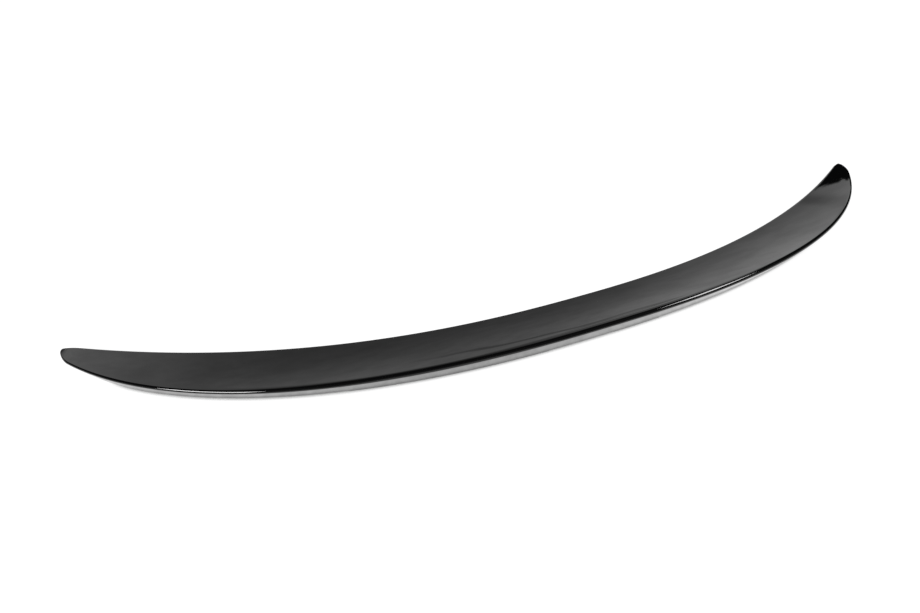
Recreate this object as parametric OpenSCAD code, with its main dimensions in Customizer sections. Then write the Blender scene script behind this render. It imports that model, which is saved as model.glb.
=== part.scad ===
// Boot-lip spoiler for the rear of a car: a crescent moulding with a sharp
// leading edge, a hollow top face, a rolled lip and an undercut rear face.
// The underside is open between a front and a rear bonding land, with cross
// ribs, and six strips of foam tape lie on the lands.
// X runs across the car, Y forward and Z up. The origin is the middle of the
// outline, on the plane that the rear tapes stand on.
// A section is drawn square to the leading edge: s runs rearwards from the
// edge and z upwards.

/* [Plan] */
// Length of the leading edge, straight across the car
span = 1150; // [1000:10:1300]
// How far the tips lie ahead of the middle of the leading edge
sweep = 134; // [90:1:170]
// Power of the leading edge curve, higher for a straighter middle
sweep_power = 2.35; // [2:0.05:2.8]
// Chord of the section at the middle
mid_chord = 73.5; // [64:0.5:90]
// Chord of the section at the tips
tip_chord = 15.5; // [12:0.5:22]
// Power of the chord's taper, higher for a later taper
taper_power = 5.5; // [4:0.5:8]
// Length over which each tip is rounded
tip_round = 17; // [8:1:24]

/* [Section] */
// Height of the leading edge's top at the middle
nose_mid_z = 12.5; // [9:0.5:18]
// Height of the leading edge's top at the tips
nose_tip_z = 14.5; // [11:0.5:18]
// Thickness of the leading edge and of the tips
nose_t = 3; // [2:0.1:4]
// Depth of the rounding of the leading edge
nose_r = 1.2; // [0.6:0.1:2]
// Rise from the leading edge to the top of the lip, at the middle
lip_rise = 18.5; // [12:0.5:26]
// Power of the lip's fall towards the tips, higher for a later fall
lip_power = 1.8; // [1.5:0.1:2.6]
// Radius at which the top face rolls over into the lip, at the middle
roll_mid_r = 5; // [3:0.1:8]
// Radius at which the top face rolls over into the lip, at the tips
roll_tip_r = 1.8; // [1.4:0.1:1.9]
// Angle above level at which the roll ends, in degrees
roll_angle = 18; // [10:1:40]
// Radius of the lip's edge, below the roll
lip_r = 1.1; // [0.6:0.1:1.3]
// How much of the top face's rise is straight, from hollow to flat
top_straight = 0.5; // [0.2:0.05:1]
// How far the foot of the rear face lies ahead of the lip, at the middle
undercut = 12.5; // [4:0.5:16]
// Radius at the foot of the rear face
foot_r = 0.8; // [0.4:0.1:1.5]
// Part of the half length after which the foot of the rear face lifts
lift_from = 0.84; // [0.8:0.01:0.9]

/* [Underside] */
// Wall of the moulding
wall = 2.8; // [2:0.1:3.2]
// Width of the front bonding land
front_land = 14; // [11:0.5:18]
// Width of the rear bonding land
rear_land = 9; // [8:0.5:12]
// Thickness of the rear land's flange
flange_t = 2.4; // [1.6:0.1:3]
// Part of the half length at which the hollow ends
hollow_to = 0.92; // [0.86:0.01:0.94]
// Number of cross ribs
rib_count = 15; // [5:2:23]
// Thickness of a rib
rib_t = 2.2; // [1.2:0.1:4]
// How far the ribs stay back from the lands
rib_back = 0.8; // [0.3:0.1:1.2]
// Draft of the hollow's front side and of the rib ends
draft = 1.5; // [0.5:0.1:2]

/* [Foam tape] */
// Thickness of the tape
tape_t = 1; // [0.6:0.1:2]
// Clearance at the bond between the tape and its land
bond_gap = 0.1; // [0.05:0.01:0.2]
// Width of the front tapes
front_tape_w = 9; // [5:0.5:9]
// Distance of the front tapes from the leading edge
front_tape_in = 3; // [2.5:0.1:4]
// Width of the rear tapes
rear_tape_w = 6; // [4:0.5:6]
// Distance of the inner rear tapes from the foot of the rear face
inner_tape_in = 0.8; // [0.8:0.1:1.5]
// Distance of the outer rear tapes from the foot of the rear face
outer_tape_in = 2; // [1.6:0.1:2]
// Gap between the two inner rear tapes
rear_break = 84; // [20:1:120]
// How far that gap's middle lies to the left of the moulding's
break_left = 25; // [0:1:40]
// Gap between the front tapes, and between an inner and an outer rear tape
tape_break = 24; // [6:1:60]
// How far from the middle the left inner rear tape ends
inner_left_end = 284; // [150:1:330]
// How far from the middle the right inner rear tape ends
inner_right_end = 81; // [70:1:330]

/* [Hidden] */

gloss_black = [0.06, 0.06, 0.065];
foam_grey = [0.2, 0.2, 0.21];

// Mesh steps
bay_steps = 5;
tip_steps = 3;
round_steps = 8;
nose_steps = 4;
top_steps = 8;
roll_steps = 6;
lip_steps = 4;
tape_step = 16;

half = span / 2;
round_start = half - tip_round;
hollow_end = hollow_to * half;
lift_start = lift_from * half;
shell_z = tape_t + bond_gap;
// Chordwise place that the round tips shrink towards, as a part of the chord
tip_focus = 0.3;
// How bluntly the tips end: 1 is an even taper and 0 is a square end
tip_bluntness = 0.4;

// Shapes in plan
function part_out(x) = abs(x) / half;
function unit(t) = max(0, min(1, t));
function ease(t) = t * t * (3 - 2 * t);
function lead_y(x) = sweep * pow(part_out(x), sweep_power);
function lead_slope(x) =
    sign(x) * sweep * sweep_power / half * pow(part_out(x), sweep_power - 1);
function rearward(x) = [lead_slope(x), -1] / norm([lead_slope(x), 1]);
function chord(x) =
    tip_chord + (mid_chord - tip_chord) * (1 - pow(part_out(x), taper_power));
function tip_shrink(x) =
    sqrt(1 - pow(unit((abs(x) - round_start) / tip_round), 2));

// Heights and radii along the span
function nose_z(x) = nose_tip_z + (nose_mid_z - nose_tip_z) * (1 - pow(part_out(x), 2));
function rise(x) = lip_rise * (1 - pow(part_out(x), lip_power));
function roll_r(x) = roll_tip_r + (roll_mid_r - roll_tip_r) * (1 - pow(part_out(x), 2));
function lift(x) = ease(unit((abs(x) - lift_start) / (half - lift_start)));
function foot_z(x) = shell_z + (nose_z(x) - nose_t - shell_z) * lift(x);
function foot_s(x) = chord(x) - undercut * (1 - pow(part_out(x), 4));

// Lip: the centres of the roll and of the edge, and the angles at which the top and the
// rear face meet them
function on_arc(centre, radius, angle) = centre + radius * [cos(angle), sin(angle)];
function roll_centre(x) =
    [
        chord(x) - lip_r - (roll_r(x) - lip_r) * cos(roll_angle),
        nose_z(x) + rise(x) - roll_r(x)
    ];
function lip_centre(x) = on_arc(roll_centre(x), roll_r(x) - lip_r, roll_angle);
function closer_angle(x, guess) =
    let (
        height = rise(x) - roll_r(x) * (1 - cos(guess)),
        run = roll_centre(x)[0] - roll_r(x) * sin(guess) - nose_r
    )
    atan((2 - top_straight) * height / run);
function top_angle(x) = closer_angle(x, closer_angle(x, closer_angle(x, 0)));
function rear_angle(x) =
    let (to_foot = [foot_s(x), foot_z(x)] - lip_centre(x))
    atan2(-to_foot[1], to_foot[0]) - acos(lip_r / norm(to_foot));
function top_end(x) = on_arc(roll_centre(x), roll_r(x), 90 + top_angle(x));
function rear_start(x) = on_arc(lip_centre(x), lip_r, -rear_angle(x));

// Top face over the chord: a straight rise and a hollow one, added
function top_z(x, s) =
    let (
        end = top_end(x),
        t = (s - nose_r) / (end[0] - nose_r)
    )
    nose_z(x) + (end[1] - nose_z(x)) * t * (top_straight + (1 - top_straight) * t);

// Bonding faces: the front land and the ribs follow a line from the nose to the rear land
function front_land_end(x) = nose_r + min(front_land, 0.34 * chord(x));
function rear_land_start(x) = foot_s(x) - min(rear_land, 0.28 * chord(x));
function seat_z(x, s) =
    let (
        z0 = nose_z(x) - nose_t,
        t = unit((s - nose_r) / (rear_land_start(x) - nose_r))
    )
    z0 + (foot_z(x) - z0) * t;

// Inside of the rear wall at height z
function rear_inside_s(x, z) =
    let (
        angle = rear_angle(x),
        from = rear_start(x) + wall * [-cos(angle), sin(angle)]
    )
    from[0] - (from[1] - z) * tan(angle);
function roof_z(x, s) = top_z(x, s) - wall / cos(top_angle(x));

// Outside of the section, from the front land's inner edge over the top to the rear land's
function outside(x) =
    let (
        front_s = front_land_end(x),
        foot = [foot_s(x), foot_z(x)],
        up = (rear_start(x) - foot) / norm(rear_start(x) - foot),
        foot_a = foot + foot_r * up,
        foot_b = foot - [foot_r, 0],
        rear = rear_start(x),
        roll_sweep = 90 + top_angle(x) - roll_angle,
        lip_sweep = roll_angle + rear_angle(x)
    )
    concat(
        [[front_s, seat_z(x, front_s)]],
        [for (i = [0:nose_steps])
            let (angle = 180 * i / nose_steps)
            [
                nose_r * (1 - sin(angle)),
                nose_z(x) - nose_t / 2 * (1 + cos(angle))
            ]
        ],
        [for (i = [1:top_steps - 1])
            let (s = nose_r + (top_end(x)[0] - nose_r) * i / top_steps)
            [s, top_z(x, s)]
        ],
        [for (i = [0:roll_steps - 1])
            on_arc(roll_centre(x), roll_r(x), 90 + top_angle(x) - roll_sweep * i / roll_steps)
        ],
        [for (i = [0:lip_steps])
            on_arc(lip_centre(x), lip_r, roll_angle - lip_sweep * i / lip_steps)
        ],
        [(rear + foot_a) / 2, foot_a, (foot_a + 2 * foot + foot_b) / 4, foot_b],
        [[rear_land_start(x), foot_z(x)]]
    );

// Open underside of the section, from the rear land to the front land
function hollow_line(x) =
    let (
        front_s = front_land_end(x) + draft,
        land_s = rear_land_start(x),
        crest_z = nose_z(x) + rise(x) - wall - lip_r / 2,
        roof_s = rear_inside_s(x, crest_z),
        flange_z = foot_z(x) + flange_t
    )
    concat(
        [
            [land_s, flange_z],
            [rear_inside_s(x, flange_z), flange_z]
        ],
        [for (i = [3:-1:0])
            let (s = front_s + (roof_s - front_s) * i / 3)
            [s, min(roof_z(x, s), crest_z)]
        ]
    );

// Closed underside of the section, up to back from the lands
function closed_line(x, back) =
    let (
        front_s = front_land_end(x) + draft,
        land_s = rear_land_start(x) - draft
    )
    [for (i = [5:-1:0])
        let (s = front_s + (land_s - front_s) * i / 5)
        [s, seat_z(x, s) + back]
    ];

// A section point in space, drawn in towards the focus at the round tips
function unshifted(x, p) =
    let (
        shrink = tip_shrink(x),
        focus_s = tip_focus * chord(x),
        focus_z = nose_z(x) - nose_t / 2,
        s = focus_s + (p[0] - focus_s) * shrink,
        z = focus_z + (p[1] - focus_z) * pow(shrink, tip_bluntness),
        plan = [x, lead_y(x)] + rearward(x) * s
    )
    [plan[0], plan[1], z];

// Rings of the mesh from left to right: a place and what the underside is there
OPEN = 0;
RIB = 1;
SOLID = 2;
bay = (2 * hollow_end + rib_t) / (rib_count + 1);
tip_places = concat(
    [for (i = [1:tip_steps]) hollow_end + (round_start - hollow_end) * i / tip_steps],
    [for (i = [1:round_steps - 1]) round_start + tip_round * sin(90 * i / round_steps)]
);
rings = concat(
    [for (i = [len(tip_places) - 1:-1:0]) [-tip_places[i], SOLID]],
    [[-hollow_end, SOLID]],
    [for (b = [0:rib_count])
        let (from = b * bay - hollow_end, to = from + bay - rib_t)
        each concat(
            [for (i = [0:bay_steps]) [from + (to - from) * i / bay_steps, OPEN]],
            b < rib_count ? [[to, RIB], [to + rib_t, RIB]] : []
        )
    ],
    [[hollow_end, SOLID]],
    [for (i = [0:len(tip_places) - 1]) [tip_places[i], SOLID]]
);

// Rings at one place share the outside's points, so a step in the underside is one flat wall
same_place = 0.001;
function steps_here(i) = abs(rings[i + 1][0] - rings[i][0]) < same_place;
stations = [
    for (i = 0, n = 0; i < len(rings); n = n + (i + 1 < len(rings) && steps_here(i) ? 0 : 1), i = i + 1)
        n
];
station_places = [
    for (i = [0:len(rings) - 1])
        if (i == 0 || !steps_here(i - 1)) rings[i][0]
];

function inside(x, kind) =
    kind == OPEN ? hollow_line(x) : closed_line(x, kind == RIB ? rib_back : 0);

outside_count = len(outside(0));
inside_count = len(hollow_line(0));
inside_base = len(station_places) * outside_count;
tip_base = inside_base + len(rings) * inside_count;
ring_size = outside_count + inside_count;

raw_points = concat(
    [for (x = station_places) each [for (p = outside(x)) unshifted(x, p)]],
    [for (ring = rings) each [for (p = inside(ring[0], ring[1])) unshifted(ring[0], p)]],
    [for (x = [-half, half]) unshifted(x, [0, 0])]
);
front_y = max([for (p = raw_points) p[1]]);
rear_y = min([for (p = raw_points) p[1]]);
middle_y = (front_y + rear_y) / 2;
function placed(x, p) = unshifted(x, p) - [0, middle_y, 0];

// The number of point j round ring i
function at(i, j) =
    j < outside_count
        ? stations[i] * outside_count + j
        : inside_base + i * inside_count + j - outside_count;

// The skin between two rings, with its diagonals mirrored on the left
function loft(i) =
    let (left = rings[i][0] + rings[i + 1][0] < 0)
    [
        for (j = [0:ring_size - 1])
            let (k = (j + 1) % ring_size)
            each left
                ? [
                    [at(i, j), at(i + 1, j), at(i, k)],
                    [at(i + 1, j), at(i + 1, k), at(i, k)]
                ]
                : [
                    [at(i, j), at(i + 1, j), at(i + 1, k)],
                    [at(i, j), at(i + 1, k), at(i, k)]
                ]
    ];

// The flat wall between an open underside and a rib or the solid end at the same place
function wall_between(open, closed) =
    let (
        front = at(open, 0),
        rear = at(open, outside_count - 1),
        a = [for (j = [0:inside_count - 1]) at(open, outside_count + j)],
        b = [for (j = [0:inside_count - 1]) at(closed, outside_count + j)]
    )
    [
        [front, a[5], b[5]],
        [a[5], a[4], b[4]],
        [a[5], b[4], b[5]],
        [a[4], b[3], b[4]],
        [a[4], b[2], b[3]],
        [a[4], b[1], b[2]],
        [a[4], b[0], b[1]],
        [a[4], a[0], b[0]],
        [a[4], a[3], a[0]],
        [a[3], a[2], a[0]],
        [a[2], a[1], a[0]],
        [a[0], rear, b[0]]
    ];

function turned(faces) = [for (f = faces) [f[2], f[1], f[0]]];

function shell_faces() = concat(
    [for (j = [0:ring_size - 1]) [tip_base, at(0, j), at(0, (j + 1) % ring_size)]],
    [for (i = [0:len(rings) - 2])
        each !steps_here(i)
            ? loft(i)
            : rings[i][1] == OPEN ? wall_between(i, i + 1) : turned(wall_between(i + 1, i))
    ],
    [for (j = [0:ring_size - 1])
        [tip_base + 1, at(len(rings) - 1, (j + 1) % ring_size), at(len(rings) - 1, j)]
    ]
);

module spoiler_shell() {
    color(gloss_black)
    polyhedron(
        points = [for (p = raw_points) p - [0, middle_y, 0]],
        faces = shell_faces()
    );
}

// A strip of tape from x0 to x1, in from the leading edge on the front land, or from the
// foot of the rear face on the rear land
module tape(x0, x1, inset, width, rear) {
    steps = ceil(abs(x1 - x0) / tape_step);
    points = [
        for (i = [0:steps])
            let (
                x = x0 + (x1 - x0) * i / steps,
                a = rear ? foot_s(x) - inset - width : inset,
                b = a + width,
                za = seat_z(x, a) - bond_gap,
                zb = seat_z(x, b) - bond_gap
            )
            each [
                placed(x, [a, za]), placed(x, [b, zb]),
                placed(x, [b, zb - tape_t]), placed(x, [a, za - tape_t])
            ]
    ];
    sides = [
        for (i = [0:steps - 1], j = [0:3])
            let (k = (j + 1) % 4)
            each [
                [4 * i + j, 4 * i + 4 + j, 4 * i + 4 + k],
                [4 * i + j, 4 * i + 4 + k, 4 * i + k]
            ]
    ];
    last = 4 * steps;
    ends = [
        [0, 1, 2], [0, 2, 3],
        [last, last + 2, last + 1], [last, last + 3, last + 2]
    ];
    color(foam_grey)
    polyhedron(points = points, faces = concat(sides, ends));
}

module front_tape_left() {
    tape(-lift_start, -tape_break / 2, front_tape_in, front_tape_w, false);
}

module front_tape_right() {
    tape(tape_break / 2, lift_start, front_tape_in, front_tape_w, false);
}

module rear_tape_outer_left() {
    tape(-lift_start, -inner_left_end - tape_break, outer_tape_in, rear_tape_w, true);
}

module rear_tape_inner_left() {
    tape(-inner_left_end, -break_left - rear_break / 2, inner_tape_in, rear_tape_w, true);
}

module rear_tape_inner_right() {
    tape(rear_break / 2 - break_left, inner_right_end, inner_tape_in, rear_tape_w, true);
}

module rear_tape_outer_right() {
    tape(inner_right_end + tape_break, lift_start, outer_tape_in, rear_tape_w, true);
}

spoiler_shell();
front_tape_left();
front_tape_right();
rear_tape_outer_left();
rear_tape_inner_left();
rear_tape_inner_right();
rear_tape_outer_right();
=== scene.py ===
import math

import bpy
from mathutils import Matrix, Vector


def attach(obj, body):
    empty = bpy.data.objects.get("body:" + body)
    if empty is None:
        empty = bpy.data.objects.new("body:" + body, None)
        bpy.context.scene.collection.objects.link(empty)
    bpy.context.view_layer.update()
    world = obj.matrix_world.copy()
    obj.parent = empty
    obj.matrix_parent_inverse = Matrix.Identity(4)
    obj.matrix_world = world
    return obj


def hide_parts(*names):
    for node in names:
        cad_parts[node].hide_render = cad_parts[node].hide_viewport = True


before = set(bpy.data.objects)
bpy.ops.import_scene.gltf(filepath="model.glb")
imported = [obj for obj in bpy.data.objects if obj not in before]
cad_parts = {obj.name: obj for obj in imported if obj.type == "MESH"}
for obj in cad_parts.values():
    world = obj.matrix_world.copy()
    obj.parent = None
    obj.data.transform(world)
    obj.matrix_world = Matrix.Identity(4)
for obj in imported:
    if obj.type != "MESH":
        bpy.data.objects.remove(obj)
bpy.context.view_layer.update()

MM = 0.001

# Plan of the moulding, as in the frame
SPAN = 1150 * MM
SWEEP = 134 * MM
SWEEP_POWER = 2.35
MID_CHORD = 73.5 * MM
TIP_CHORD = 15.5 * MM
TAPER_POWER = 5.5
TIP_ROUND = 17 * MM

# Its section. TOP_STRAIGHT is the top's slope at the nose as a share of its mean slope.
NOSE_MID_Z = 12.5 * MM
NOSE_TIP_Z = 14.5 * MM
NOSE_T = 3 * MM
NOSE_R = 1.2 * MM
LIP_RISE = 18.5 * MM
LIP_POWER = 1.8
LIP_R = 1.1 * MM
ROLL_MID_R = 5 * MM
ROLL_TIP_R = 1.8 * MM
ROLL_ANGLE = math.radians(18)
TOP_STRAIGHT = 0.5
UNDERCUT = 12.5 * MM
UNDERCUT_POWER = 4
FOOT_R = 0.8 * MM
LIFT_FROM = 0.84

# Its underside
WALL = 2.8 * MM
FRONT_LAND = 14 * MM
REAR_LAND = 9 * MM
FLANGE_T = 2.4 * MM
HOLLOW_TO = 0.92
RIB_COUNT = 15
RIB_T = 2.2 * MM
RIB_BACK = 0.8 * MM
DRAFT = 1.5 * MM
SHELL_Z = 1.1 * MM

# The most of the chord that each land takes, which counts at the narrow tips
FRONT_LAND_SHARE = 0.34
REAR_LAND_SHARE = 0.28

# Where along its chord a section shrinks to at the round tips, and how little its height does
TIP_FOCUS = 0.3
TIP_BLUNTNESS = 0.4

HALF = SPAN / 2
ROUND_START = HALF - TIP_ROUND
HOLLOW_END = HOLLOW_TO * HALF
LIFT_START = LIFT_FROM * HALF

# Mesh steps, and how near two rings at the same x may be
BAY_STEPS = 12
TIP_STEPS = 8
ROUND_STEPS = 14
NOSE_STEPS = 10
TOP_STEPS = 26
ROLL_STEPS = 14
LIP_STEPS = 10
REAR_STEPS = 6
FOOT_STEPS = 4
LAND_STEPS = 3
ROOF_STEPS = 3
CLOSED_STEPS = ROOF_STEPS + 2
TOP_ANGLE_ROUNDS = 3
SMOOTH_BELOW = math.radians(32)
SAME_X = 1e-7


def ease(t):
    t = max(0.0, min(1.0, t))
    return t * t * (3 - 2 * t)


def on_arc(centre, radius, angle):
    return (centre[0] + radius * math.cos(angle), centre[1] + radius * math.sin(angle))


class Section:
    """The moulding's section at x: s runs rearwards from the leading edge, z upwards."""

    def __init__(self, x):
        self.x = x
        out = abs(x) / HALF
        slope = math.copysign(SWEEP * SWEEP_POWER / HALF * out ** (SWEEP_POWER - 1), x)
        length = math.hypot(slope, 1)
        self.rearward = (slope / length, -1 / length)
        self.lead_y = SWEEP * out**SWEEP_POWER
        self.chord = TIP_CHORD + (MID_CHORD - TIP_CHORD) * (1 - out**TAPER_POWER)
        round_part = max(0.0, (abs(x) - ROUND_START) / TIP_ROUND)
        self.shrink = math.sqrt(max(0.0, 1 - round_part**2))
        self.nose_z = NOSE_TIP_Z + (NOSE_MID_Z - NOSE_TIP_Z) * (1 - out**2)
        self.rise = LIP_RISE * (1 - out**LIP_POWER)
        self.roll_r = ROLL_TIP_R + (ROLL_MID_R - ROLL_TIP_R) * (1 - out**2)
        lift = ease((abs(x) - LIFT_START) / (HALF - LIFT_START))
        self.foot_z = SHELL_Z + (self.nose_z - NOSE_T - SHELL_Z) * lift
        self.foot_s = self.chord - UNDERCUT * (1 - out**UNDERCUT_POWER)
        self.roll = (
            self.chord - LIP_R - (self.roll_r - LIP_R) * math.cos(ROLL_ANGLE),
            self.nose_z + self.rise - self.roll_r,
        )
        self.lip = (
            self.chord - LIP_R,
            self.roll[1] + (self.roll_r - LIP_R) * math.sin(ROLL_ANGLE),
        )
        self.top_angle = self.find_top_angle()
        self.rear_angle = self.find_rear_angle()
        self.top_end = on_arc(self.roll, self.roll_r, math.pi / 2 + self.top_angle)
        self.rear_start = on_arc(self.lip, LIP_R, -self.rear_angle)
        self.front_land_end = NOSE_R + min(FRONT_LAND, FRONT_LAND_SHARE * self.chord)
        self.rear_land_start = self.foot_s - min(REAR_LAND, REAR_LAND_SHARE * self.chord)

    def find_top_angle(self):
        """The top face's slope where the roll takes over from it."""
        angle = 0.0
        for _ in range(TOP_ANGLE_ROUNDS):
            height = self.rise - self.roll_r * (1 - math.cos(angle))
            run = self.roll[0] - self.roll_r * math.sin(angle) - NOSE_R
            angle = math.atan((2 - TOP_STRAIGHT) * height / run)
        return angle

    def find_rear_angle(self):
        """How far the rear face leans in under the lip."""
        ds = self.foot_s - self.lip[0]
        dz = self.foot_z - self.lip[1]
        return math.atan2(-dz, ds) - math.acos(LIP_R / math.hypot(ds, dz))

    def top_z(self, s):
        t = (s - NOSE_R) / (self.top_end[0] - NOSE_R)
        return self.nose_z + (self.top_end[1] - self.nose_z) * t * (
            TOP_STRAIGHT + (1 - TOP_STRAIGHT) * t
        )

    def seat_z(self, s):
        """Height of the plane of the lands and tapes."""
        z0 = self.nose_z - NOSE_T
        t = max(0.0, min(1.0, (s - NOSE_R) / (self.rear_land_start - NOSE_R)))
        return z0 + (self.foot_z - z0) * t

    def roof_z(self, s):
        return self.top_z(s) - WALL / math.cos(self.top_angle)

    def rear_inside_s(self, z):
        """Place of the rear face's inside at a height."""
        s = self.rear_start[0] - WALL * math.cos(self.rear_angle)
        top = self.rear_start[1] + WALL * math.sin(self.rear_angle)
        return s - (top - z) * math.tan(self.rear_angle)

    def outside(self):
        """The outline from the front land's inner edge over the top to the rear land's."""
        line = []
        for i in range(LAND_STEPS):
            s = self.front_land_end + (NOSE_R - self.front_land_end) * i / LAND_STEPS
            line.append((s, self.seat_z(s)))
        for i in range(NOSE_STEPS + 1):
            angle = math.pi * i / NOSE_STEPS
            z = self.nose_z - NOSE_T / 2 * (1 + math.cos(angle))
            line.append((NOSE_R * (1 - math.sin(angle)), z))
        for i in range(1, TOP_STEPS):
            s = NOSE_R + (self.top_end[0] - NOSE_R) * i / TOP_STEPS
            line.append((s, self.top_z(s)))
        start = math.pi / 2 + self.top_angle
        for i in range(ROLL_STEPS):
            angle = start + (ROLL_ANGLE - start) * i / ROLL_STEPS
            line.append(on_arc(self.roll, self.roll_r, angle))
        for i in range(LIP_STEPS + 1):
            angle = ROLL_ANGLE - (ROLL_ANGLE + self.rear_angle) * i / LIP_STEPS
            line.append(on_arc(self.lip, LIP_R, angle))
        foot = (self.foot_s, self.foot_z)
        up = Vector((self.rear_start[0] - foot[0], self.rear_start[1] - foot[1])).normalized()
        corner = (foot[0] + FOOT_R * up.x, foot[1] + FOOT_R * up.y)
        for i in range(1, REAR_STEPS):
            t = i / REAR_STEPS
            line.append(tuple(a + (b - a) * t for a, b in zip(self.rear_start, corner)))
        for i in range(FOOT_STEPS + 1):
            t = i / FOOT_STEPS
            s = (1 - t) ** 2 * corner[0] + 2 * t * (1 - t) * foot[0] + t**2 * (foot[0] - FOOT_R)
            z = (1 - t) ** 2 * corner[1] + 2 * t * (1 - t) * foot[1] + t**2 * foot[1]
            line.append((s, z))
        for i in range(1, LAND_STEPS + 1):
            s = foot[0] - FOOT_R + (self.rear_land_start - foot[0] + FOOT_R) * i / LAND_STEPS
            line.append((s, self.foot_z))
        return line

    def hollow(self):
        """The open underside from the rear land to the front land."""
        flange_z = self.foot_z + FLANGE_T
        crest_z = self.nose_z + self.rise - WALL - LIP_R / 2
        front_s = self.front_land_end + DRAFT
        roof_s = self.rear_inside_s(crest_z)
        line = [(self.rear_land_start, flange_z), (self.rear_inside_s(flange_z), flange_z)]
        for i in range(ROOF_STEPS, -1, -1):
            s = front_s + (roof_s - front_s) * i / ROOF_STEPS
            line.append((s, min(self.roof_z(s), crest_z)))
        return line

    def closed(self, back):
        """The closed underside, back from the lands, with as many points as the hollow."""
        front_s = self.front_land_end + DRAFT
        land_s = self.rear_land_start - DRAFT
        line = []
        for i in range(CLOSED_STEPS, -1, -1):
            s = front_s + (land_s - front_s) * i / CLOSED_STEPS
            line.append((s, self.seat_z(s) + back))
        return line

    def place(self, point):
        """A section's point in space, drawn in towards the tip where the plan is round."""
        focus_s = TIP_FOCUS * self.chord
        focus_z = self.nose_z - NOSE_T / 2
        s = focus_s + (point[0] - focus_s) * self.shrink
        z = focus_z + (point[1] - focus_z) * self.shrink**TIP_BLUNTNESS
        x = self.x + self.rearward[0] * s
        return (x, self.lead_y + self.rearward[1] * s, z)


OPEN, RIB, SOLID = range(3)
OUTSIDE, UNDERSIDE = range(2)


def moulding_rings():
    """Places from left to right, with what the underside is there."""
    tip = [
        HOLLOW_END + (ROUND_START - HOLLOW_END) * i / TIP_STEPS
        for i in range(1, TIP_STEPS + 1)
    ]
    tip += [
        ROUND_START + TIP_ROUND * math.sin(math.pi / 2 * i / ROUND_STEPS)
        for i in range(1, ROUND_STEPS)
    ]
    rings = [(-x, SOLID) for x in reversed(tip)] + [(-HOLLOW_END, SOLID)]
    bay = (2 * HOLLOW_END + RIB_T) / (RIB_COUNT + 1)
    for b in range(RIB_COUNT + 1):
        start = b * bay - HOLLOW_END
        end = start + bay - RIB_T
        for i in range(BAY_STEPS + 1):
            rings.append((start + (end - start) * i / BAY_STEPS, OPEN))
        if b < RIB_COUNT:
            rings += [(end, RIB), (end + RIB_T, RIB)]
    return rings + [(HOLLOW_END, SOLID)] + [(x, SOLID) for x in tip]


def add_points(points, section, line):
    """Places a line of a section and returns the numbers of its points."""
    first = len(points)
    points += [section.place(p) for p in line]
    return list(range(first, len(points)))


def place_rings(points):
    """The rings as (x, kind, outline, underside). Two at the same x share their outline."""
    rings = []
    for x, kind in moulding_rings():
        section = Section(x)
        if not rings or abs(x - rings[-1][0]) > SAME_X:
            outline = add_points(points, section, section.outside())
        if kind == OPEN:
            line = section.hollow()
        else:
            line = section.closed(RIB_BACK if kind == RIB else 0)
        rings.append((x, kind, outline, add_points(points, section, line)))
    return rings


def rib_wall(outline, opened, closed):
    """Faces of the flat wall between an open and a closed underside at the same x."""
    front, rear, a, b = outline[0], outline[-1], opened, closed
    return [
        (front, a[5], b[5]), (a[5], a[4], b[4], b[5]), (a[4], b[3], b[4]),
        (a[4], b[2], b[3]), (a[4], b[1], b[2]), (a[4], b[0], b[1]), (a[4], a[0], b[0]),
        (a[4], a[3], a[0]), (a[3], a[2], a[0]), (a[2], a[1], a[0]), (a[0], rear, b[0]),
    ]


def lofted_faces(rings):
    """Faces between the rings, each with the finish it takes, OUTSIDE or UNDERSIDE."""
    faces = []
    for (x0, kind, outline, under), (x1, _, next_outline, next_under) in zip(rings, rings[1:]):
        if abs(x1 - x0) > SAME_X:
            loop, following = outline + under, next_outline + next_under
            for j in range(len(loop)):
                k = (j + 1) % len(loop)
                face = (loop[j], loop[k], following[k], following[j])
                faces.append((face, OUTSIDE if j < len(outline) - 1 else UNDERSIDE))
        elif kind == OPEN:
            faces += [(face[::-1], UNDERSIDE) for face in rib_wall(outline, under, next_under)]
        else:
            faces += [(face, UNDERSIDE) for face in rib_wall(outline, next_under, under)]
    return faces


def tip_faces(points, ring, x, turn):
    """The fan of faces that closes a tip at its very end."""
    tip = len(points)
    points.append(Section(x).place((0, 0)))
    loop = ring[2] + ring[3]
    fan = [(tip, loop[j], loop[(j + 1) % len(loop)]) for j in range(len(loop))]
    return [(face[::turn], OUTSIDE) for face in fan]


def build_moulding():
    """The whole shell as one closed mesh, lofted through its rings and centred front to back."""
    points = []
    rings = place_rings(points)
    faces = lofted_faces(rings)
    faces += tip_faces(points, rings[0], -HALF, -1)
    faces += tip_faces(points, rings[-1], HALF, 1)
    middle_y = (min(p[1] for p in points) + max(p[1] for p in points)) / 2
    points = [(x, y - middle_y, z) for x, y, z in points]
    mesh = bpy.data.meshes.new("moulding")
    mesh.from_pydata(points, [], [face for face, _ in faces])
    mesh.update()
    piece = bpy.data.objects.new("moulding", mesh)
    bpy.context.scene.collection.objects.link(piece)
    for polygon, (_, side) in zip(mesh.polygons, faces):
        polygon.material_index = side
    return piece


def select_only(piece):
    bpy.ops.object.select_all(action="DESELECT")
    piece.select_set(True)
    bpy.context.view_layer.objects.active = piece


def finish_normals(piece, angle):
    """Turns all faces outwards and smooths the edges flatter than the angle."""
    select_only(piece)
    bpy.ops.object.mode_set(mode="EDIT")
    bpy.ops.mesh.select_all(action="SELECT")
    bpy.ops.mesh.normals_make_consistent(inside=False)
    bpy.ops.object.mode_set(mode="OBJECT")
    bpy.ops.object.shade_smooth_by_angle(angle=angle)


moulding = build_moulding()
finish_normals(moulding, SMOOTH_BELOW)


# Nodes of materials and of the world

# Sockets of a Mix node that mixes colours
COLOUR_A, COLOUR_B, COLOUR_RESULT = 6, 7, 2

# Nearly all the values of a noise lie in this range
NOISE_RANGE = (0.3, 0.7)


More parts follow.
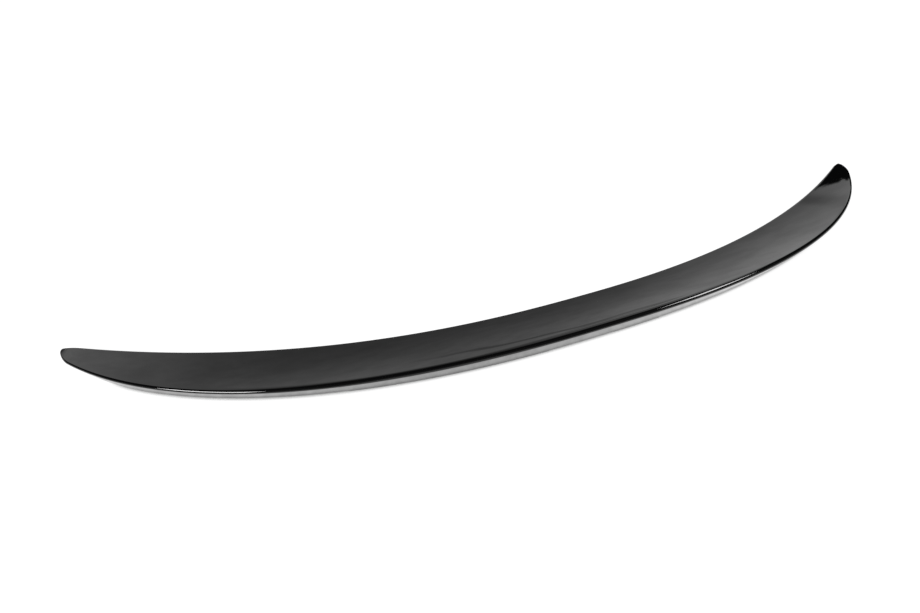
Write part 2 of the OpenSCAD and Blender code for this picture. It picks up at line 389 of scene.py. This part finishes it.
class Nodes:
    """Adds nodes to a tree and links them as they come."""

    def __init__(self, tree):
        self.tree = tree

    def feed(self, socket, value):
        if isinstance(value, bpy.types.NodeSocket):
            self.tree.links.new(value, socket)
        else:
            socket.default_value = value

    def add(self, kind, inputs, **settings):
        node = self.tree.nodes.new("ShaderNode" + kind)
        for name, value in settings.items():
            setattr(node, name, value)
        for socket, value in inputs.items():
            self.feed(node.inputs[socket], value)
        return node

    def math(self, operation, *values):
        node = self.add("Math", dict(enumerate(values)), operation=operation)
        return node.outputs[0]

    def between(self, value, start, end, low=0.0, high=1.0):
        """Goes smoothly from low to high while the value goes from start to end."""
        sockets = {"Value": value, "From Min": start, "From Max": end, "To Min": low, "To Max": high}
        node = self.add("MapRange", sockets, interpolation_type="SMOOTHSTEP")
        return node.outputs["Result"]

    def noise(self, vector, scale, detail=2.0, roughness=0.5):
        """A soft noise, with its scale in waves per metre, or per radian on a direction."""
        sockets = {"Vector": vector, "Scale": scale, "Detail": detail, "Roughness": roughness}
        return self.add("TexNoise", sockets).outputs["Fac"]

    def stretched(self, vector, along):
        """The place with its X scaled, which draws a pattern out along the span."""
        return self.add("Mapping", {"Vector": vector, "Scale": (along, 1, 1)}).outputs[0]

    def ramp(self, value, stops):
        """A brightness that follows stops of place and level, given from low to high."""
        node = self.add("ValToRGB", {"Fac": value})
        elements = node.color_ramp.elements
        node.color_ramp.interpolation = "EASE"
        for _ in stops[2:]:
            elements.new(0.5)  # its place follows
        for element, (place, _) in zip(elements, stops):
            element.position = place
        for element, (_, level) in zip(elements, stops):
            element.color = (level, level, level, 1)
        return node.outputs["Color"]

    def put(self, group, inputs):
        node = self.add("Group", {}, node_tree=group)
        for socket, value in inputs.items():
            self.feed(node.inputs[socket], value)
        return node.outputs[0]


def object_place(nodes):
    return nodes.add("TexCoord", {}).outputs["Object"]


def light_paths(nodes):
    """Masks of the rays that the camera sends, and of those that polished or clear faces do."""
    path = nodes.add("LightPath", {}).outputs
    mirrored = nodes.math("MAXIMUM", path["Is Glossy Ray"], path["Is Transmission Ray"])
    return path["Is Camera Ray"], mirrored


# Effects that the materials share

SPECK_RADIUS, SPECK_SPREAD = 0.012, 0.03


def new_group(name, inputs, output):
    """A shader node group with float inputs and one float output."""
    tree = bpy.data.node_groups.new(name, "ShaderNodeTree")
    for socket, value in inputs.items():
        item = tree.interface.new_socket(socket, in_out="INPUT", socket_type="NodeSocketFloat")
        item.default_value = value
    tree.interface.new_socket(output, in_out="OUTPUT", socket_type="NodeSocketFloat")
    nodes = Nodes(tree)
    given = tree.nodes.new("NodeGroupInput")
    result = tree.nodes.new("NodeGroupOutput")
    return nodes, given.outputs, result.inputs[0], object_place(nodes)


def slow_waves():
    """Height of the long shallow waves that a moulded wall keeps, stretched along the span."""
    inputs = {"Waves per metre": 10, "Depth": 1e-4}
    nodes, given, result, where = new_group("slow_waves", inputs, "Height")
    along = nodes.stretched(where, along=0.45)
    wave = nodes.noise(along, given["Waves per metre"], detail=1.5, roughness=0.4)
    nodes.feed(result, nodes.math("MULTIPLY", wave, given["Depth"]))
    return nodes.tree


def fine_grain():
    """Height of an even fine grain: orange peel, spark-eroded texture or foam skin."""
    inputs = {"Grains per metre": 900, "Depth": 1e-6}
    nodes, given, result, where = new_group("fine_grain", inputs, "Height")
    grain = nodes.noise(where, given["Grains per metre"], detail=2, roughness=0.6)
    nodes.feed(result, nodes.math("MULTIPLY", grain, given["Depth"]))
    return nodes.tree


def dust():
    """Mask of sparse specks of dust, a few tenths of a millimetre across."""
    inputs = {"Specks per metre": 90, "Share": 0.2}
    nodes, given, result, where = new_group("dust", inputs, "Mask")
    cells = nodes.add("TexVoronoi", {"Vector": where, "Scale": given["Specks per metre"]})
    size = nodes.add("SeparateColor", {"Color": cells.outputs["Color"]}).outputs
    kept = nodes.math("LESS_THAN", size["Red"], given["Share"])
    radius = nodes.math("MULTIPLY_ADD", size["Green"], SPECK_SPREAD, SPECK_RADIUS)
    speck = nodes.math("LESS_THAN", cells.outputs["Distance"], radius)
    nodes.feed(result, nodes.math("MULTIPLY", kept, speck))
    return nodes.tree


WAVES = slow_waves()
GRAIN = fine_grain()
DUST = dust()


# Materials

POLISHED_BLACK, DUST_GREY = (0.0016, 0.0016, 0.0017), (0.05, 0.05, 0.048)
SMEAR_RANGE, POLISH_ROUGHNESS, DUST_ROUGHNESS = (0.35, 0.75), (0.02, 0.05), 0.4
INSIDE_BLACK, RUBBED_BLACK = (0.007, 0.007, 0.0075), (0.016, 0.016, 0.0165)
INSIDE_ROUGHNESS = (0.36, 0.5)
FOAM_BLACK, CUT_CELL_BLACK = (0.04, 0.04, 0.043), (0.012, 0.012, 0.013)
TONE_RANGE, FOAM_SHADES, FOAM_ROUGHNESS = (0.25, 0.75), (0.7, 1.0), (0.8, 0.95)
FOAM_CELLS_PER_METRE, FOAM_CELL_DEPTH, CELL_WALL_RANGE = 1800, 8e-5, (0.15, 0.6)


def new_material(name):
    material = bpy.data.materials.new(name)
    material.use_nodes = True
    return material, Nodes(material.node_tree), material.node_tree.nodes["Principled BSDF"]


def bump(nodes, shader, height):
    node = nodes.add("Bump", {"Height": height, "Strength": 1.0, "Distance": 1.0})
    nodes.feed(shader.inputs["Normal"], node.outputs["Normal"])


def tint(nodes, shader, mask, under, over):
    """Base Color that goes from under to over with the mask."""
    node = nodes.add("Mix", {"Factor": mask}, data_type="RGBA")
    node.inputs[COLOUR_A].default_value = under + (1,)
    node.inputs[COLOUR_B].default_value = over + (1,)
    nodes.feed(shader.inputs["Base Color"], node.outputs[COLOUR_RESULT])


def gloss_black():
    """Black moulded plastic with a polished face, its long waves, faint orange peel and dust."""
    material, nodes, shader = new_material("gloss_black")
    specks = nodes.put(DUST, {"Specks per metre": 70, "Share": 0.25})
    smears = nodes.noise(object_place(nodes), scale=14, detail=4, roughness=0.6)
    tint(nodes, shader, specks, POLISHED_BLACK, DUST_GREY)
    polish = nodes.between(smears, *SMEAR_RANGE, *POLISH_ROUGHNESS)
    roughness = nodes.math("MULTIPLY_ADD", specks, DUST_ROUGHNESS, polish)
    nodes.feed(shader.inputs["Roughness"], roughness)
    waves = nodes.put(WAVES, {"Waves per metre": 11, "Depth": 4.5e-4})
    ripples = nodes.put(WAVES, {"Waves per metre": 45, "Depth": 3.5e-5})
    peel = nodes.put(GRAIN, {"Grains per metre": 700, "Depth": 1.6e-6})
    bump(nodes, shader, nodes.math("ADD", nodes.math("ADD", waves, ripples), peel))
    return material


def satin_black():
    """The moulding's inside: spark-eroded grain, with slow flow marks and paler rub marks."""
    material, nodes, shader = new_material("satin_black")
    along = nodes.stretched(object_place(nodes), along=0.3)
    flow = nodes.noise(along, scale=60, detail=5, roughness=0.6)
    tint(nodes, shader, flow, INSIDE_BLACK, RUBBED_BLACK)
    roughness = nodes.between(flow, *NOISE_RANGE, *INSIDE_ROUGHNESS)
    nodes.feed(shader.inputs["Roughness"], roughness)
    grain = nodes.put(GRAIN, {"Grains per metre": 1600, "Depth": 3e-5})
    waves = nodes.put(WAVES, {"Waves per metre": 30, "Depth": 1e-4})
    bump(nodes, shader, nodes.math("ADD", grain, waves))
    return material


def foam_tape():
    """Closed-cell foam: a skin of small round cells with paler walls, in a slowly changing tone."""
    material, nodes, shader = new_material("foam_tape")
    where = object_place(nodes)
    cells = nodes.add("TexVoronoi", {"Vector": where, "Scale": FOAM_CELLS_PER_METRE})
    walls = nodes.between(cells.outputs["Distance"], *CELL_WALL_RANGE)
    tone = nodes.noise(where, scale=120, detail=3)
    shade = nodes.math("MULTIPLY", walls, nodes.between(tone, *TONE_RANGE, *FOAM_SHADES))
    tint(nodes, shader, shade, CUT_CELL_BLACK, FOAM_BLACK)
    roughness = nodes.between(tone, *NOISE_RANGE, *FOAM_ROUGHNESS)
    nodes.feed(shader.inputs["Roughness"], roughness)
    grain = nodes.put(GRAIN, {"Grains per metre": 5000, "Depth": 2e-5})
    bump(nodes, shader, nodes.math("MULTIPLY_ADD", walls, FOAM_CELL_DEPTH, grain))
    return material


for finish in (gloss_black(), satin_black()):
    moulding.data.materials.append(finish)
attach(moulding, "root")
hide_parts("spoiler_shell")

foam_material = foam_tape()
for name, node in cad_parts.items():
    if "tape" in name:
        node.data.materials.clear()
        node.data.materials.append(foam_material)


# Camera, at the photograph's place

IMAGE_WIDTH = 920
FOCAL_PIXELS = 591.7
SENSOR = 36.0
CAMERA_AZIMUTH, CAMERA_ELEVATION = 202.717, 42.334
CAMERA_ROLL = math.radians(0.832)
CAMERA_TARGET = Vector((-135.49, 19.25, 0)) * MM
CAMERA_DISTANCE = 732.12 * MM
CLIP_START, CLIP_END = 0.01, 50


def towards(azimuth, elevation):
    """The direction at an azimuth from forward to the right and an elevation, in degrees."""
    a, e = math.radians(azimuth), math.radians(elevation)
    return Vector((math.sin(a) * math.cos(e), math.cos(a) * math.cos(e), math.sin(e)))


bpy.ops.object.select_all(action="DESELECT")
bpy.ops.object.camera_add()
camera = bpy.context.active_object
camera.name = "camera"
bpy.context.scene.camera = camera
camera.data.sensor_fit = "HORIZONTAL"
camera.data.sensor_width = SENSOR
camera.data.lens = SENSOR * FOCAL_PIXELS / IMAGE_WIDTH
camera.data.clip_start = CLIP_START
camera.data.clip_end = CLIP_END
back = towards(CAMERA_AZIMUTH, CAMERA_ELEVATION)
level = back.to_track_quat("Z", "Y").to_matrix()
turned = (level @ Matrix.Rotation(CAMERA_ROLL, 3, "Z")).to_4x4()
camera.matrix_world = Matrix.Translation(CAMERA_TARGET + back * CAMERA_DISTANCE) @ turned


# Floor: white to the eye, with the object's soft shadow

FLOOR_SIZE = 12.0
FLOOR_ALBEDO, SEEN_ALBEDO = 0.8, 0.2
SEEN_GLOW, MIRRORED_GLOW = 0.85, 0.95
# Reach, samples, range and depth of the painted contact shadow that ambient occlusion puts into the
# floor's glow
CONTACT_REACH, CONTACT_SAMPLES = 5 * MM, 8
CONTACT_RANGE, CONTACT_SHADE = (0.1, 0.75), 0.22
PAPER_UNEVEN = 0.11


def floor_paper():
    """Paper that glows where it is seen, with a painted contact shadow that dims the glow close to
    the object, and uneven in mirrors.
    """
    material = bpy.data.materials.new("floor")
    material.use_nodes = True
    material.node_tree.nodes.clear()
    nodes = Nodes(material.node_tree)
    from_camera, mirrored = light_paths(nodes)
    seen = nodes.math("MAXIMUM", from_camera, mirrored)
    albedo = nodes.math("MULTIPLY_ADD", seen, SEEN_ALBEDO - FLOOR_ALBEDO, FLOOR_ALBEDO)
    glow = nodes.math("MULTIPLY", seen, SEEN_GLOW)
    glow = nodes.math("MULTIPLY_ADD", mirrored, MIRRORED_GLOW - SEEN_GLOW, glow)
    # Painted contact shadow: ambient occlusion dims the glow where the object is near, both where it
    # is seen and in mirrors
    occlusion = nodes.add(
        "AmbientOcclusion", {"Distance": CONTACT_REACH}, samples=CONTACT_SAMPLES
    )
    contact = nodes.between(occlusion.outputs["AO"], *CONTACT_RANGE, CONTACT_SHADE, 1.0)
    fibre = nodes.noise(object_place(nodes), scale=90, detail=4, roughness=0.6)
    uneven = nodes.between(fibre, *NOISE_RANGE, 1 - PAPER_UNEVEN, 1 + PAPER_UNEVEN)
    in_mirrors = nodes.math(
        "MULTIPLY_ADD", nodes.math("SUBTRACT", uneven, 1.0), mirrored, 1.0
    )
    glow = nodes.math("MULTIPLY", nodes.math("MULTIPLY", glow, contact), in_mirrors)
    paper = nodes.add("BsdfDiffuse", {"Color": albedo}).outputs[0]
    light = nodes.add("Emission", {"Strength": glow}).outputs[0]
    both = nodes.add("AddShader", {0: paper, 1: light}).outputs[0]
    nodes.add("OutputMaterial", {"Surface": both})
    return material


bpy.ops.mesh.primitive_plane_add(size=FLOOR_SIZE)
floor = bpy.context.active_object
floor.name = "floor"
floor.data.materials.append(floor_paper())


# Lamps: soft boxes to the left and right of the camera, which draw the lines along the lip

LAMP_DISTANCE = 2.4


def soft_box(name, azimuth, elevation, width, height, watts):
    away = towards(azimuth, elevation)
    bpy.ops.object.light_add(
        type="AREA", location=away * LAMP_DISTANCE, rotation=away.to_track_quat("Z", "Y").to_euler()
    )
    lamp = bpy.context.active_object
    lamp.name = name
    lamp.data.shape = "RECTANGLE"
    lamp.data.size = width
    lamp.data.size_y = height
    lamp.data.energy = watts


soft_box("soft_box_left", azimuth=-116, elevation=30, width=1.0, height=0.5, watts=42)
soft_box("soft_box_right", azimuth=111.8, elevation=39, width=0.78, height=0.45, watts=17)


# World: white to the eye, an even soft light, and a room that polished faces mirror.
# The room has a paper sheet beyond the object, a pale wall behind the camera and a faint
# dome over it. Azimuths go from forward to the right, elevations upwards, both in degrees.

WHITE = (1, 1, 1, 1)
SOFT_LIGHT = 0.85
DARK_ROOM = 0.003

# The sheet: its brightness low down and high up by azimuth, its edges, sag and flaws
SHEET_LOW = (
    (-110, DARK_ROOM), (-75, 0.5), (-30, 0.9), (-12, 1.2), (-2, 1.15), (4, 1.1), (10, 0.9),
    (16, 0.7), (22, 0.67), (28, 0.76), (33, 1.02), (38, 1.08), (43, 1.26), (47, 1.6), (54, 1.9),
)
SHEET_HIGH = (
    (-110, DARK_ROOM), (-60, DARK_ROOM), (-26, 0.1), (-20, 1.3), (-15, 1.02), (-9, 0.74),
    (-4, 0.54), (3, 0.42), (12, 0.41), (24, 0.42), (33, 0.47), (39, 0.54), (44, 0.58),
    (48, 0.5), (54, 0.4),
)
SHEET_FOOT, SHEET_HEAD = 8, 31
SHEET_FADE = (36, 74)
SHEET_EDGE, EDGE_SOFTNESS = 53.65, 0.12
EDGE_LEAN_RISE, EDGE_LEAN = (26, 40), 12
SAG_PLACE, SAG_WIDTH, SAG = 32, 12, 6
CROWN_START, CROWN_RISE, CROWN_LEVEL = (24, 36), (27, 33), 0.5
CREASE, CREASE_TILT, CREASE_WIDTH = 44.42, 0.32, (0.1, 0.9)
CREASE_FADE, CREASE_SHADES = (20.5, 24.2), (0.86, 0.62)
SEAM_HEIGHT, SEAM_FALL, SEAM_FOOT, SEAM_WIDTH = 23, -0.61, 6.3, (0.25, 0.9)
SEAM_START, SEAM_SHADE = (11, 19), 0.56
WAVER, RAGGED, MOTTLE = 3.0, 2.4, 0.1
CREASE_WAVER, SEAM_WAVER = 0.4, 0.5

# The wall and the dome
WALL_START, WALL_LEVEL, WALL_FADE = (75, 115), 0.7, 13
WALL_SHOULDER, WALL_LOW, WALL_HIGH = (155, 172), 14, 31
DOME_LEVEL, DOME_FADE = 0.07, (80, 35)


def by_azimuth(nodes, azimuth, stops):
    turn = nodes.math("MULTIPLY_ADD", azimuth, 1 / 360, 0.5)
    return nodes.ramp(turn, [(place / 360 + 0.5, level) for place, level in stops])


def plain_sheet(nodes, azimuth, elevation):
    """Brightness of the sheet without its flaws. It sags, and its top right has a pale crown."""
    off_sag = nodes.math("ABSOLUTE", nodes.math("SUBTRACT", azimuth, SAG_PLACE))
    sag = nodes.between(off_sag, 0, SAG_WIDTH, SAG, 0)
    lowness = nodes.between(nodes.math("ADD", elevation, sag), SHEET_HEAD, SHEET_FOOT)
    highness = nodes.math("SUBTRACT", 1.0, lowness)
    crown = nodes.math(
        "MULTIPLY",
        nodes.between(azimuth, *CROWN_START, 0.0, CROWN_LEVEL),
        nodes.between(elevation, *CROWN_RISE),
    )
    high = nodes.math("ADD", by_azimuth(nodes, azimuth, SHEET_HIGH), crown)
    low = by_azimuth(nodes, azimuth, SHEET_LOW)
    return nodes.math(
        "ADD", nodes.math("MULTIPLY", low, lowness), nodes.math("MULTIPLY", high, highness)
    )


def sheet_flaws(nodes, direction, azimuth, elevation):
    """Shares left of the brightness: torn right edge, crease, seam, fading top, mottled paper."""
    slow = nodes.noise(direction, scale=16, detail=2)
    waver = nodes.math("MULTIPLY_ADD", slow, WAVER, -WAVER / 2)
    fast = nodes.noise(direction, scale=60, detail=3, roughness=0.7)
    ragged = nodes.math("MULTIPLY_ADD", fast, RAGGED, -RAGGED / 2)

    lean = nodes.between(elevation, *EDGE_LEAN_RISE, 0.0, EDGE_LEAN)
    across = nodes.math("SUBTRACT", nodes.math("ADD", azimuth, ragged), lean)
    edge = nodes.between(
        across, SHEET_EDGE - EDGE_SOFTNESS, SHEET_EDGE + EDGE_SOFTNESS, 1.0, 0.0
    )

    crease_at = nodes.math("MULTIPLY_ADD", elevation, CREASE_TILT, CREASE)
    wavering = nodes.math("MULTIPLY_ADD", waver, CREASE_WAVER, azimuth)
    off_crease = nodes.math("ABSOLUTE", nodes.math("SUBTRACT", wavering, crease_at))
    crease_shade = nodes.between(elevation, *CREASE_FADE, *CREASE_SHADES)
    crease = nodes.between(off_crease, *CREASE_WIDTH, crease_shade, 1.0)

    seam_line = nodes.math("MULTIPLY_ADD", azimuth, SEAM_FALL, SEAM_HEIGHT)
    seam_at = nodes.math("MAXIMUM", seam_line, SEAM_FOOT)
    wavering = nodes.math("MULTIPLY_ADD", waver, SEAM_WAVER, elevation)
    off_seam = nodes.math("ABSOLUTE", nodes.math("SUBTRACT", wavering, seam_at))
    seam_shade = nodes.between(azimuth, *SEAM_START, 1.0, SEAM_SHADE)
    seam = nodes.between(off_seam, *SEAM_WIDTH, seam_shade, 1.0)

    top = nodes.between(elevation, *SHEET_FADE, 1.0, 0.0)
    patches = nodes.noise(direction, scale=24, detail=6, roughness=0.7)
    mottle = nodes.between(patches, *NOISE_RANGE, 1 - MOTTLE, 1 + MOTTLE)
    return edge, crease, seam, top, mottle


def dark_room(nodes, azimuth, elevation):
    """Brightness of the room round the sheet: the wall behind the camera and the dome."""
    behind = nodes.math("ABSOLUTE", azimuth)
    wall_top = nodes.between(behind, *WALL_SHOULDER, WALL_LOW, WALL_HIGH)
    above = nodes.math("SUBTRACT", elevation, wall_top)
    wall = nodes.math(
        "MULTIPLY",
        nodes.between(behind, *WALL_START, 0.0, WALL_LEVEL),
        nodes.between(above, 0, -WALL_FADE),
    )
    dome = nodes.math(
        "MULTIPLY",
        nodes.between(behind, *WALL_START, 0.0, DOME_LEVEL),
        nodes.between(elevation, *DOME_FADE),
    )
    return nodes.math("MAXIMUM", nodes.math("ADD", wall, dome), DARK_ROOM)


def plain_light(nodes, strength):
    return nodes.add("Background", {"Color": WHITE, "Strength": strength}).outputs[0]


world = bpy.data.worlds.new("studio")
bpy.context.scene.world = world
world.use_nodes = True
world.node_tree.nodes.clear()
nodes = Nodes(world.node_tree)
direction = nodes.add("TexCoord", {}).outputs["Generated"]
x, y, z = nodes.add("SeparateXYZ", {"Vector": direction}).outputs
azimuth = nodes.math("DEGREES", nodes.math("ARCTAN2", x, y))
elevation = nodes.math("DEGREES", nodes.math("ARCSINE", z))
sheet = plain_sheet(nodes, azimuth, elevation)
for share in sheet_flaws(nodes, direction, azimuth, elevation):
    sheet = nodes.math("MULTIPLY", sheet, share)
studio = nodes.math("MAXIMUM", sheet, dark_room(nodes, azimuth, elevation))
from_camera, mirrored = light_paths(nodes)
lit = nodes.add(
    "MixShader", {0: mirrored, 1: plain_light(nodes, SOFT_LIGHT), 2: plain_light(nodes, studio)}
)
shown = nodes.add(
    "MixShader", {0: from_camera, 1: lit.outputs[0], 2: plain_light(nodes, 1.0)}
)
nodes.add("OutputWorld", {"Surface": shown.outputs[0]})

bpy.context.scene.view_settings.view_transform = "Standard"
